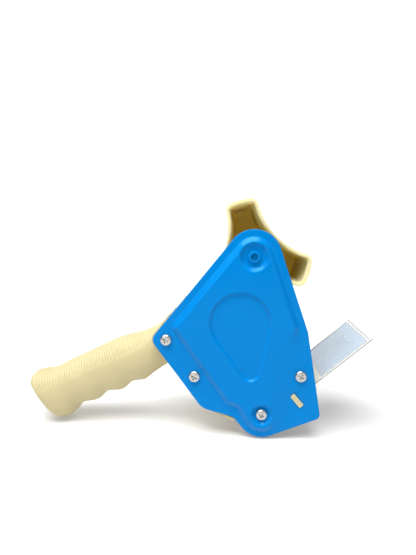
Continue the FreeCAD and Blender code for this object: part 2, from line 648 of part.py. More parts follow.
def make_parts():
    """Every sub-part by name, in the drawing frame."""
    near_washer = HUB_BOSS_NEAR - FACE_GAP - WASHER_T
    washer_hole_r = STUD_R + WASHER_ROOM
    far_washer = POCKET_FLOOR + FACE_GAP
    x, z = ROLLER_X, ROLLER_Z
    near_half, far_half, grip_outer = grip_halves()
    grip_screw = pan_screw(M3_R, GRIP_SCREW_LENGTH, M3_HEAD_R, M3_HEAD_H)
    grip_screws = []
    for s in GRIP_SCREW_S:
        gx, gz = grip_point(s, GRIP_SCREW_H)
        grip_screws.append(placed_screw(grip_screw, gx, GRIP_SCREW_SEAT, gz, 180))
    parts = {
        "side_plate": side_plate(),
        "hub_stud": hub_stud(),
        "hub_washer_near": ring(0, 0, NEAR_WASHER_R, washer_hole_r, near_washer, near_washer + WASHER_T),
        "hub_washer_far": ring(0, 0, FAR_WASHER_R, washer_hole_r, far_washer, far_washer + WASHER_T),
        "tape_hub": tape_hub(),
        "tension_spring": tension_spring(),
        "spring_cup": spring_cup(),
        "tension_screw": tension_screw(),
        "roller_axle": roller_axle(),
        "roller_spacer": ring(x, z, SPACER_R, AXLE_R + WASHER_ROOM, DIMPLE_BACK, DIMPLE_BACK + SPACER_T),
        "roller_core": roller_core(),
        "roller_sleeve": ring(x, z, ROLLER_R, ROLLER_R - SLEEVE_T, ROLLER_NEAR, ROLLER_FAR),
        "roller_end_washer": ring(x, z, SPACER_R, M4_R + CLEARANCE, AXLE_END, AXLE_END + WASHER_T),
        "roller_end_screw": placed_screw(plate_screw(), x, AXLE_END + WASHER_T, z, 180),
        "roller_plate_screw": placed_screw(plate_screw(), x, DIMPLE_FLOOR, z),
        "grip_near_shell": grip_near_shell(near_half, grip_outer),
        "grip_far_shell": grip_far_shell(far_half, grip_outer),
        "grip_screws": Part.makeCompound(grip_screws),
        "grip_plate_screws": Part.makeCompound([placed_screw(plate_screw(), sx, 0, sz)
                                                for sx, sz in GRIP_PLATE_SCREWS]),
        "blade_holder": blade_holder(),
        "blade_holder_screw": placed_screw(plate_screw(), HOLDER_SCREW[0], 0, HOLDER_SCREW[1]),
        "cutting_blade": cutting_blade(),
        "blade_screws": holder_screws(BLADE_SCREW_Y, TAB_HALF_WIDTH + BLADE_T, BLADE_SCREW_T,
                                      BLADE_SCREW_LENGTH, 180 - FLAP_ANGLE),
        "flap_sheet": flap_sheet(),
        "flap_tail": flap_tail(),
        "flap_clamp": flap_clamp(),
        "flap_clamp_screws": holder_screws(CLAMP_SCREW_Y, CLAMP_SCREW_S, CLAMP_TOP,
                                           CLAMP_SCREW_LENGTH, 90 - FLAP_ANGLE),
    }
    return parts


def main():
    os.makedirs("parts", exist_ok=True)
    parts = make_parts()
    for name, shape in parts.items():
        save(name, shape)
    box = Part.makeCompound(list(parts.values())).BoundBox
    print("box", box.XMin, box.XMax, box.YMin, box.YMax, box.ZMin, box.ZMax)
    print("middle of the footprint", box.Center.x, box.Center.y, box.ZMin)


main()
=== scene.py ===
import json
import math

import bmesh
import bpy
import numpy as np
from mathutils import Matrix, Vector
from mathutils.geometry import delaunay_2d_cdt


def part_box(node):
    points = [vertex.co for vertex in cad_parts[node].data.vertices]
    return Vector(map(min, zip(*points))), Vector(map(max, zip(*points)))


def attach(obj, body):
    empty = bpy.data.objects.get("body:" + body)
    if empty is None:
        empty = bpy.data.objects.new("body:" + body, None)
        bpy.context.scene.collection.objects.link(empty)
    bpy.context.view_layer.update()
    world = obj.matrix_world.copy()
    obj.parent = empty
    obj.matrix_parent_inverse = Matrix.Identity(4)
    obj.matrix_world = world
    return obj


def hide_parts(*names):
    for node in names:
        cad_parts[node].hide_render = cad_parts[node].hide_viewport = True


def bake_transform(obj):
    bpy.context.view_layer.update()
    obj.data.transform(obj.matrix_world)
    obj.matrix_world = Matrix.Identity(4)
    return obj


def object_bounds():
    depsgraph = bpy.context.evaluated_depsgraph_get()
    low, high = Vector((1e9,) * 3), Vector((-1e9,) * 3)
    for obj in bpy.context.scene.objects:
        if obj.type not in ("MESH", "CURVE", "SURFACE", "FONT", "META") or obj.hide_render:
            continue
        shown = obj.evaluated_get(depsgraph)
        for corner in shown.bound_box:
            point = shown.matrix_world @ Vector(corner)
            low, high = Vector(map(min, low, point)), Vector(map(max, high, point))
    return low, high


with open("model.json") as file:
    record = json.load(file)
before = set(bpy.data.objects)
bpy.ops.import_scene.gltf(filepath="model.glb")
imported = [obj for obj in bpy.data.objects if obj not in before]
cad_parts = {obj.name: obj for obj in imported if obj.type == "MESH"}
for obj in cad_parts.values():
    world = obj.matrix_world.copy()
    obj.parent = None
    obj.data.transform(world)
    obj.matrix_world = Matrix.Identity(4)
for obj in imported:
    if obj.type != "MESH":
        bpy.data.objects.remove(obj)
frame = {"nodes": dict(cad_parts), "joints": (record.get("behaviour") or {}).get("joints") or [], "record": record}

CAD_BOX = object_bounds()
MM = 0.001
SAME_POINT = 1e-7  # metres
JOINTS = {j["name"]: j for j in frame["joints"]}

# The drawing frame has its origin on the hub's axis, in the plane of the side plate's outer margin.
HUB = Vector(JOINTS["hub_spin"]["pos_m"])
ROLLER = Vector(JOINTS["roller_spin"]["pos_m"])
PANEL_RISE = 2.8
PLATE_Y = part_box("side_plate")[0].y + PANEL_RISE * MM
ROLLER_XZ = ((ROLLER.x - HUB.x) / MM, (ROLLER.z - HUB.z) / MM)


def at(x, y, z):
    """A point of the drawing frame, in millimetres, as a point of the scene in metres."""
    return Vector((HUB.x + x * MM, PLATE_Y + y * MM, HUB.z + z * MM))


# ---------------------------------------------------------------- mesh helpers

def make_mesh(name, points, faces):
    """An object from drawing-frame points and faces, with its normals facing out."""
    mesh = bpy.data.meshes.new(name)
    mesh.from_pydata([at(*p) for p in points], [], faces)
    obj = bpy.data.objects.new(name, mesh)
    bpy.context.scene.collection.objects.link(obj)
    bm = bmesh.new()
    bm.from_mesh(mesh)
    bmesh.ops.remove_doubles(bm, verts=bm.verts, dist=SAME_POINT)
    bmesh.ops.recalc_face_normals(bm, faces=bm.faces)
    bm.to_mesh(mesh)
    bm.free()
    smooth(obj)
    return obj


def smooth(obj):
    """Smooth shading on every face."""
    obj.data.polygons.foreach_set("use_smooth", [True] * len(obj.data.polygons))


def add_modifier(obj, kind, **settings):
    """A modifier of the given kind, with its settings."""
    modifier = obj.modifiers.new(kind.lower(), kind)
    for key, value in settings.items():
        setattr(modifier, key, value)
    return modifier


def apply_modifiers(obj):
    """Turns the object's modified shape into its plain mesh."""
    depsgraph = bpy.context.evaluated_depsgraph_get()
    made = bpy.data.meshes.new_from_object(obj.evaluated_get(depsgraph))
    obj.modifiers.clear()
    obj.data = made


def combine(obj, tool, operation):
    """Exact boolean of two closed meshes; the tool object is used up."""
    add_modifier(obj, "BOOLEAN", operation=operation, object=tool, solver="EXACT")
    apply_modifiers(obj)
    bpy.data.objects.remove(tool)
    smooth(obj)
    return obj


def soften(obj, width, angle=35.0, segments=2):
    """Rounds every hard edge by a moulding or finishing radius, in millimetres."""
    add_modifier(obj, "BEVEL", width=width * MM, segments=segments, limit_method="ANGLE",
                 angle_limit=math.radians(angle), harden_normals=False, miter_outer="MITER_ARC")
    add_modifier(obj, "WEIGHTED_NORMAL", keep_sharp=True, weight=60)
    return obj


def turn_headings(circles):
    """For each signed circle, the heading of the tangent that leaves it for the next one."""
    headings = []
    for i, (x0, z0, r0) in enumerate(circles):
        x1, z1, r1 = circles[(i + 1) % len(circles)]
        reach = math.hypot(x1 - x0, z1 - z0)
        lean = math.asin(max(-1.0, min(1.0, (r0 - r1) / reach)))
        headings.append(math.atan2(z1 - z0, x1 - x0) + lean)
    return headings


def belt(circles, by=0.0, arc=14, run=0.0):
    """Outline points round signed circles; `arc` points per arc, and a point every `run` mm on straights."""
    circles = [(x, z, r + by) for x, z, r in circles]
    headings = turn_headings(circles)
    points = []
    for i, (x, z, r) in enumerate(circles):
        swing = (headings[i] - headings[i - 1]) % (2 * math.pi)
        if r < 0:
            swing -= 2 * math.pi
        for k in range(arc):
            a = headings[i - 1] + swing * k / (arc - 1)
            points.append((x + r * math.sin(a), z - r * math.cos(a)))
        if run:
            x1, z1, r1 = circles[(i + 1) % len(circles)]
            a = headings[i]
            end = (x1 + r1 * math.sin(a), z1 - r1 * math.cos(a))
            start = points[-1]
            length = math.dist(start, end)
            for k in range(1, int(length / run)):
                f = k * run / length
                points.append((start[0] + f * (end[0] - start[0]), start[1] + f * (end[1] - start[1])))
    return points


def loft(name, loops, close_ends=True):
    """A skin over loops of (x, y, z) points with equal counts."""
    count = len(loops[0])
    points = [p for loop in loops for p in loop]
    faces = []
    for i in range(len(loops) - 1):
        for k in range(count):
            n = (k + 1) % count
            faces.append((i * count + k, i * count + n, (i + 1) * count + n, (i + 1) * count + k))
    if close_ends:
        faces.append(tuple(range(count)))
        faces.append(tuple(range(len(points) - count, len(points))))
    return make_mesh(name, points, faces)


def prism(name, circles, y0, y1, by=0.0, arc=14):
    """A straight solid with a belt outline."""
    outline = belt(circles, by, arc)
    return loft(name, [[(x, y, z) for x, z in outline] for y in (y0, y1)])


def round_bar(name, x, z, radius, y0, y1, sides=64):
    """A straight round bar across the tape."""
    loops = []
    for y in (y0, y1):
        loops.append([(x + radius * math.cos(2 * math.pi * k / sides), y,
                       z + radius * math.sin(2 * math.pi * k / sides)) for k in range(sides)])
    return loft(name, loops)


def distance_inside(points, outline):
    """Signed distance in mm from each (x, z) point to a closed outline, positive inside."""
    a = np.array(outline)
    b = np.roll(a, -1, axis=0)
    p = np.array(points)[:, None, :]
    side = b - a
    length2 = np.maximum((side ** 2).sum(1), 1e-12)
    f = np.clip(((p - a) * side).sum(2) / length2, 0, 1)
    gap = np.sqrt((((a + f[..., None] * side) - p) ** 2).sum(2)).min(1)
    px, pz = p[..., 0], p[..., 1]
    crosses = (a[:, 1] > pz) != (b[:, 1] > pz)
    rise = np.where(b[:, 1] == a[:, 1], 1e-12, b[:, 1] - a[:, 1])
    hits = crosses & (px < (b[:, 0] - a[:, 0]) * (pz - a[:, 1]) / rise + a[:, 0])
    return np.where(hits.sum(1) % 2 == 1, gap, -gap)


def soft_ramp(d, start, end, ease):
    """0 before start and 1 after end, straight between, with both bends eased over +-ease."""
    def bend(x):
        """0 below -ease and x above ease, joined by a parabola."""
        return np.where(x < -ease, 0.0, np.where(x > ease, x, (x + ease) ** 2 / (4 * ease)))
    return (bend(d - start) - bend(d - end)) / (end - start)


# ---------------------------------------------------------------- blade holder: s along the flap, t below it

HOLDER = (30.0, -98.0)
FLAP_ANGLE = math.radians(40.6)


def holder_point(s, t):
    """A point of the blade holder's own axes, as (x, z) of the drawing frame."""
    return (HOLDER[0] + s * math.cos(FLAP_ANGLE) + t * math.sin(FLAP_ANGLE),
            HOLDER[1] + s * math.sin(FLAP_ANGLE) - t * math.cos(FLAP_ANGLE))


# ---------------------------------------------------------------- side plate

SHEET = 1.2
PLATE_CORNERS = [(0.0, 0.0, 18.2), (-62.8, -57.4, 6.0), (-27.9, -94.6, 12.0), (-16.6, -116.2, -6.0),
                 ROLLER_XZ + (16.8,), (41.6, -107.3, 4.0), (16.9, -55.1, 20.0)]
PANEL_CORNERS = [(0.0, 0.0, 11.9), (-50.8, -48.2, 3.0), (-15.2, -96.5, 4.0), (-12.1, -105.1, -3.0),
                 ROLLER_XZ + (11.2,), (25.2, -47.3, 4.0)]
TEARDROP = [(-8.9, -44.4, 20.2), (-2.0, -77.6, 6.4)]
# pressed features: outline, where its slope starts and ends (mm inside the outline), easing, depth
PRESSINGS = [
    (PANEL_CORNERS, -1.5, 2.1, 1.0, -2.8),
    (TEARDROP, -0.7, 0.9, 0.4, 1.6),
    ([(0.0, 0.0, 8.5), (0.01, 0.0, 8.5)], -1.2, 1.1, 0.8, 2.4),
    ([ROLLER_XZ + (6.1,), (ROLLER_XZ[0] + 0.01, ROLLER_XZ[1], 6.1)], -1.2, 1.1, 0.8, 2.4),
]
GENTLE = (-5.2, 8.5, 2.2)  # start, end and easing of the panel's slope where it dies away, low at the front
GENTLE_X, GENTLE_Z = (9.0, 16.0), (-44.0, -60.0)  # where the steep slope gives way to the gentle one
GRID_STEP = 3.0  # mesh spacing on the flat parts of the plate
GRID_LOW, GRID_HIGH = (-68.0, -124.0), (46.0, 18.0)
RIM_GAP, BAND_GAP = 2.0, 3.4  # the grid keeps this far from the edge, and from the pressings' slopes
SLOT_R, SLOT_ROOM = 0.5, 0.1
TAB_HALF_S, TAB_HALF_T = 1.8, 5.05
EDGE_ROUND = 0.55
BACK_ROLL = 0.4  # the back edge rolls over this much as far as the front edge


def fade(value, start, end):
    """0 at start, 1 at end, with a smooth change between."""
    f = np.clip((value - start) / (end - start), 0, 1)
    return f * f * (3 - 2 * f)


def plate_height(points):
    """The y of the plate's outer face, in mm, at each (x, z)."""
    x, z = np.array(points).T
    gentle = fade(x, *GENTLE_X) * fade(z, *GENTLE_Z)
    y = np.zeros(len(points))
    for circles, start, end, ease, depth in PRESSINGS:
        inside = distance_inside(points, belt(circles, arc=48))
        step = soft_ramp(inside, start, end, ease)
        if circles is PANEL_CORNERS:
            step += gentle * (soft_ramp(inside, *GENTLE) - step)
        y += depth * step
    return y


def slot_outline(by):
    """The slot round the blade holder's tab."""
    half_s, half_t = TAB_HALF_S - SLOT_R, TAB_HALF_T - SLOT_R
    corners = [(-half_s, -half_t), (-half_s, half_t), (half_s, half_t), (half_s, -half_t)]
    return belt([holder_point(s, t) + (SLOT_R,) for s, t in corners], by, arc=5)


def side_plate():
    """The pressed sheet, meshed along its bends, with a rolled-over outer edge."""
    loops = []
    for by in (0.0, -0.1, -0.25, -EDGE_ROUND):
        loops.append(belt(PLATE_CORNERS, by, arc=40, run=1.6))
    for circles, start, end, ease, depth in PRESSINGS:
        arc = 40 if len(circles) > 2 else 60
        for d in (start - ease, start - ease / 2, start, start + ease / 2, 0.0,
                  end - ease / 2, end, end + ease / 2, end + ease):
            loops.append(belt(circles, -d, arc=arc, run=1.6))
    slot = slot_outline(SLOT_ROOM)
    loops.append(slot)
    points, edges = [], []
    for loop in loops:
        first = len(points)
        points += [Vector(p) for p in loop]
        edges += [(first + k, first + (k + 1) % len(loop)) for k in range(len(loop))]
    (x0, z0), (x1, z1) = GRID_LOW, GRID_HIGH
    grid = [(x, z) for x in np.arange(x0, x1, GRID_STEP) for z in np.arange(z0, z1, GRID_STEP)]
    edge_gap = distance_inside(grid, loops[0])
    bands = np.min([np.abs(distance_inside(grid, belt(c, arc=40))) for c, *_ in PRESSINGS], axis=0)
    points += [Vector(g) for g, e, b in zip(grid, edge_gap, bands) if e > RIM_GAP and b > BAND_GAP]
    verts, _, faces, _, _, _ = delaunay_2d_cdt(points, edges, [], 1, 1e-4)
    flat = [(v.x, v.y) for v in verts]
    centres = [tuple(sum(flat[i][a] for i in f) / len(f) for a in (0, 1)) for f in faces]
    keep = distance_inside(centres, slot) < 0
    faces = [f for f, k in zip(faces, keep) if k]
    y = plate_height(flat)
    inset = np.clip(np.minimum(distance_inside(flat, loops[0]), -distance_inside(flat, slot)), 0, EDGE_ROUND)
    roll = EDGE_ROUND - np.sqrt(EDGE_ROUND ** 2 - (EDGE_ROUND - inset) ** 2)
    count = len(flat)
    solid = [(p[0], h + r, p[1]) for p, h, r in zip(flat, y, roll)]
    solid += [(p[0], h + SHEET - r * BACK_ROLL, p[1]) for p, h, r in zip(flat, y, roll)]
    uses = {}
    for f in faces:
        for a, b in zip(f, list(f[1:]) + [f[0]]):
            uses.setdefault((min(a, b), max(a, b)), []).append((a, b))
    skin = [tuple(f) for f in faces] + [tuple(i + count for i in reversed(f)) for f in faces]
    for sides in uses.values():
        if len(sides) == 1:
            a, b = sides[0]
            skin.append((b, a, a + count, b + count))
    obj = make_mesh("plate_pressing", solid, skin)
    add_modifier(obj, "WEIGHTED_NORMAL", keep_sharp=True, weight=50)
    return obj


# ---------------------------------------------------------------- grip: s down the handle, h square to it

GRIP_ROOT = (-60.0, -61.0)
GRIP_ANGLE = math.radians(23.7)
GRIP_MID = 24.0
GRIP_TOP = [(-14, 17.6), (-9, 17.0), (-4.5, 15.9), (0.6, 13.5), (5, 12.6), (14, 12.1), (25, 13.6),
            (38, 15.0), (52, 14.6), (66, 14.0), (80, 13.5), (90, 12.7), (96.5, 13.7), (101.5, 15.4),
            (105.4, 16.0), (108.3, 15.2), (110.7, 12.7), (111.8, 9.4)]
GRIP_BOTTOM = [(-14, -15.2), (0, -16.0), (12, -17.4), (21.7, -19.3), (30, -21.4), (39, -19.4), (49, -22.0),
               (60, -19.1), (70, -21.9), (81.5, -19.8), (89.5, -23.3), (94.5, -25.0), (99.5, -24.9),
               (103.3, -22.4), (105.7, -17.5), (108.3, -6.0), (110.9, 4.8), (111.8, 9.4)]
GRIP_DEPTH = [(-14, 13.4), (0, 13.2), (10, 13.4), (25, 14.6), (45, 15.4), (70, 15.4), (91, 15.2),
              (101.5, 15.4), (106.5, 14.2), (109.6, 11.2), (111.2, 7.0), (111.8, 0.0)]
GRIP_END = 111.8
RIB_PITCH = 2.1
RIB_DEPTH = 0.65
RIB_START, RIB_END = 15.5, 107.0
RIB_LOW = (3.6, 2.2)  # h of the ribs' lower ends, at the plate's end and at the butt
RIB_RUN_IN = 2.5  # the first and last ribs grow over this length
RIB_RUN_OUT = 1.4  # and each rib's lower end over this height
SEAM_DEPTH = 0.3
BUTT_LENGTH = 14.0
SECTION_POWER = 2.35  # superellipse exponent of the handle's section


def grip_point(s, h):
    """A point of the grip's own axes, as (x, z) of the drawing frame."""
    return (GRIP_ROOT[0] - s * math.cos(GRIP_ANGLE) - h * math.sin(GRIP_ANGLE),
            GRIP_ROOT[1] - s * math.sin(GRIP_ANGLE) + h * math.cos(GRIP_ANGLE))


def curve_through(stations, s):
    """Monotone-limited smooth curve through (s, value) stations, for an array of s."""
    xs, ys = np.array(stations, float).T
    step = np.diff(xs)
    rate = np.diff(ys) / step
    slope = np.empty(len(xs))
    slope[0], slope[-1] = rate[0], rate[-1]
    same = rate[:-1] * rate[1:] > 0
    w1, w2 = 2 * step[1:] + step[:-1], step[1:] + 2 * step[:-1]
    with np.errstate(divide="ignore", invalid="ignore"):
        slope[1:-1] = np.where(same, (w1 + w2) / (w1 / rate[:-1] + w2 / rate[1:]), 0.0)
    i = np.clip(np.searchsorted(xs, s) - 1, 0, len(step) - 1)
    f = np.clip((s - xs[i]) / step[i], 0, 1)
    h00, h10 = 2 * f ** 3 - 3 * f ** 2 + 1, f ** 3 - 2 * f ** 2 + f
    h01, h11 = 3 * f ** 2 - 2 * f ** 3, f ** 3 - f ** 2
    return h00 * ys[i] + h10 * step[i] * slope[i] + h01 * ys[i + 1] + h11 * step[i] * slope[i + 1]


def grip_half(name, side):
    """One half of the grip, from its seam plane outwards; side is -1 towards the plate, +1 away from it."""
    ribbed = np.arange(RIB_START, RIB_END, RIB_PITCH / 7)
    butt = GRIP_END - BUTT_LENGTH * (1 - np.linspace(0, 1, 40)) ** 1.9  # stops crowd towards the end
    neck = np.arange(GRIP_TOP[0][0], RIB_START, 0.9)
    stops = np.unique(np.concatenate([neck, ribbed, butt[butt > RIB_END]]))
    top, bottom = curve_through(GRIP_TOP, stops), curve_through(GRIP_BOTTOM, stops)
    depth = curve_through(GRIP_DEPTH, stops)
    angles = np.concatenate([[0, 1.2, 2.6], np.linspace(5, 175, 46), [177.4, 178.8, 180]])
    loops = []
    for s, hi, lo, deep in zip(stops, top, bottom, depth):
        middle, half = (hi + lo) / 2, max((hi - lo) / 2, 0.01)
        f = (s - RIB_START) / (RIB_END - RIB_START)
        low = RIB_LOW[0] + f * (RIB_LOW[1] - RIB_LOW[0])
        along = np.clip((s - RIB_START) / RIB_RUN_IN, 0, 1) * np.clip((RIB_END - s) / RIB_RUN_IN, 0, 1)
        wave = (0.5 - 0.5 * math.cos(2 * math.pi * (s - RIB_START) / RIB_PITCH)) ** 0.7
        loop = []
        for a in angles:
            up, across = math.cos(math.radians(a)), math.sin(math.radians(a))
            up = math.copysign(abs(up) ** (2 / SECTION_POWER), up)
            across = abs(across) ** (2 / SECTION_POWER)
            above = middle + half * up - low
            groove = RIB_DEPTH * along * wave * min(1.0, max(0.0, above / RIB_RUN_OUT))
            seam = SEAM_DEPTH * (1.0 if a in (0, 180) else 0.55 if a in (1.2, 178.8) else 0.0)
            shrink = 1 - min(0.9, (groove + seam) / max(half, 0.4))
            x, z = grip_point(s, middle + half * up * shrink)
            loop.append((x, GRIP_MID + side * deep * across * shrink, z))
        loops.append(loop)
    return loft(name, loops)


# wall of the frame moulding, as its outer corner circles; it stands behind the plate's edge
WALL_HALF = 1.0
WALL_TOP = (-52.6, -35.8)
WALL_CORNER = (-62.8, -57.4, 6.8)
WALL_BELLY = (-26.5, -94.6, 12.6)
WALL_END = (-13.6, -113.1)
WALL_NEAR, WALL_FAR = 1.3, 57.0
FLANGE_T = 2.5
FLANGE_INNER = [(-17.0, -108.2, 1.6), (-47.0, -52.0, 4.0)]
TAPE_SIDE = [(40.0, -100.0, 1.0), (20.0, 20.0, 1.0)]  # well inside the tape side of the wall
GRIP_PLATE_SCREWS = [(-59.5, -57.0), (-40.1, -82.3)]
BOSS_R, BOSS_END = 4.3, 14.0


def frame_wall():
    """The wall between grip and roller, its flange behind the plate and the two screw bosses."""
    inner_corner = WALL_CORNER[:2] + (2 * WALL_HALF - WALL_CORNER[2],)
    inner_belly = WALL_BELLY[:2] + (2 * WALL_HALF - WALL_BELLY[2],)
    strip = [WALL_TOP + (WALL_HALF,), WALL_CORNER, WALL_BELLY, WALL_END + (WALL_HALF,)]
    strip += [inner_belly, inner_corner]
    wall = prism("frame_wall", strip, WALL_NEAR, WALL_FAR, arc=16)
    flange = [WALL_TOP + (WALL_HALF - 0.05,), WALL_CORNER[:2] + (WALL_CORNER[2] - 0.05,),
              WALL_BELLY[:2] + (WALL_BELLY[2] - 0.05,)] + FLANGE_INNER
    combine(wall, prism("flange", flange, WALL_NEAR + 0.02, WALL_NEAR + FLANGE_T, arc=16), "UNION")
    for x, z in GRIP_PLATE_SCREWS:
        combine(wall, round_bar("boss", x, z, BOSS_R, WALL_NEAR + 0.04, BOSS_END), "UNION")
    return soften(wall, 0.35)


def behind_wall():
    """Everything on the tape side of the wall, for cutting the grip's halves off inside it."""
    circles = [WALL_TOP + (WALL_HALF,), WALL_CORNER, WALL_BELLY] + TAPE_SIDE
    return prism("behind_wall", circles, -20, 90, by=-0.4)


GRIP_SCREW_S = (27.0, 61.0, 95.0)
GRIP_SCREW_H = -2.5
GRIP_SCREW_SEAT = 34.0
COUNTERBORE_R = 3.1


def grip_shells():
    """Both halves of the grip, cut off at the wall; the far one has the screws' counterbores."""
    near = combine(grip_half("grip_near_half", -1), behind_wall(), "DIFFERENCE")
    far = combine(grip_half("grip_far_half", 1), behind_wall(), "DIFFERENCE")
    for s in GRIP_SCREW_S:
        x, z = grip_point(s, GRIP_SCREW_H)
        bore = round_bar("counterbore", x, z, COUNTERBORE_R, GRIP_SCREW_SEAT, 60, 48)
        far = combine(far, bore, "DIFFERENCE")
    for half in (near, far):
        add_modifier(half, "WEIGHTED_NORMAL", keep_sharp=True, weight=50)
    return near, far


# ---------------------------------------------------------------- flap

FLAP_NEAR, FLAP_FAR = 4.0, 60.0
FLAP_START, FLAP_END = 2.0, 66.0
FLAP_HALF_T = 0.5
FLAP_CORNER = 1.6
FINE_FROM = 58.0  # finer mesh from here to the tip
FLAP_LIFT = 1.6  # the free sheet is warped: its far edge stands this much higher than its near edge
FLAP_SKEW = 1.3  # and reaches this much further at the tip
FLAP_FREE = 17.5  # end of the clamp strip
WARP_END = 32.0
RIM_WIDTH = 2.1
RIM_START = 23.0
TIP_WIDTH = 3.6
TIP_SLOT = (63.6, 64.5)  # the clear line in the tip's rim
WINDOW_HALF_T = 0.28
WINDOW_INSET = 0.2
EDGE_FACE = 0.7  # faces turned further than this from the sheet's own normal are its edges, which get a dark painted shade


def flap_point(s, y, t):
    """A point of the warped sheet, from its place on the flat one."""
    across = (y - FLAP_NEAR) / (FLAP_FAR - FLAP_NEAR)
    lift = FLAP_LIFT * across * float(fade(s, FLAP_FREE, WARP_END))
    x, z = holder_point(s + FLAP_SKEW * across * float(fade(s, FLAP_FREE, FLAP_END)), t - lift)
    return x, y, z


def rounded_strip(name, near, far, end, half_t, corner):
    """A thin sheet from the clamped root to `end`, with round long edges and round tip corners."""
    coarse, fine = np.arange(FLAP_START, FINE_FROM, 1.0), np.arange(FINE_FROM, end - 0.01, 0.15)
    stops = np.concatenate([coarse, fine, [end]])
    across = np.linspace(0, 1, 29)
    profile = [(half_t * (1 - math.cos(a)), -half_t * math.sin(a)) for a in np.linspace(0, math.pi / 2, 4)]
    loops = []
    for s in stops:
        back = max(0.0, s - (end - corner))
        trim = corner - math.sqrt(max(0.0, corner ** 2 - back ** 2))
        y0, y1 = near + trim, far - trim
        upper = [(y0 + inset, t) for inset, t in profile]
        upper += [(y0 + half_t + f * (y1 - y0 - 2 * half_t), -half_t) for f in across[1:-1]]
        upper += [(y1 - inset, t) for inset, t in reversed(profile)]
        lower = [(y, abs(t)) for y, t in reversed(upper[1:-1])]
        loops.append([flap_point(s, y, t) for y, t in upper + lower])
    return loft(name, loops)


def cut_window(rim, start, end):
    """Opens the rim between two places along the flap."""
    near, far = FLAP_NEAR + RIM_WIDTH, FLAP_FAR - RIM_WIDTH
    loops = []
    corners = [(near, -2), (far, -2), (far, 2), (near, 2)]
    for s in np.linspace(start, end, max(2, int(end - start))):
        loops.append([flap_point(s, y, t) for y, t in corners])
    combine(rim, loft("flap_opening", loops), "DIFFERENCE")


def flap():
    """The flap: a thick rim all round the free part, pale with a painted highlight of the clear sheet's edges, and
    the thinner clear sheet inside it.
    """
    window = rounded_strip("flap_window", FLAP_NEAR + WINDOW_INSET, FLAP_FAR - WINDOW_INSET,
                           FLAP_END - WINDOW_INSET, WINDOW_HALF_T, FLAP_CORNER)
    rim = rounded_strip("flap_rim", FLAP_NEAR, FLAP_FAR, FLAP_END, FLAP_HALF_T, FLAP_CORNER)
    cut_window(rim, RIM_START, FLAP_END - TIP_WIDTH)
    cut_window(rim, *TIP_SLOT)
    for part in (window, rim):
        add_modifier(part, "WEIGHTED_NORMAL", keep_sharp=True, weight=50)
    return window, rim


# ---------------------------------------------------------------- brake spring

SPRING_TURNS = 3.5
SPRING_WIRE_R = 0.7
SPRING_STOPS, SPRING_SIDES = 160, 12  # mesh points along the wire, and round it


def brake_spring():
    """The coil between hub and cup, as a round wire swept along its helix."""
    low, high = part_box("tension_spring")
    near, far = (low.y - PLATE_Y) / MM, (high.y - PLATE_Y) / MM
    radius = (high.x - low.x) / (2 * MM) - SPRING_WIRE_R
    climb = (far - near - 2 * SPRING_WIRE_R) / (2 * math.pi * SPRING_TURNS)
    loops = []
    for a in np.linspace(0, 2 * math.pi * SPRING_TURNS, SPRING_STOPS):
        out = Vector((math.cos(a), 0, math.sin(a)))
        along = Vector((-radius * math.sin(a), climb, radius * math.cos(a))).normalized()
        lift = out.cross(along)
        middle = radius * out + Vector((0, near + SPRING_WIRE_R + climb * a, 0))
        loop = []
        for k in range(SPRING_SIDES):
            b = 2 * math.pi * k / SPRING_SIDES
            loop.append(tuple(middle + SPRING_WIRE_R * (math.cos(b) * out + math.sin(b) * lift)))
        loops.append(loop)
    return loft("brake_spring", loops), at(0, near, 0), at(0, far - SPRING_WIRE_R, 0)


# ---------------------------------------------------------------- materials

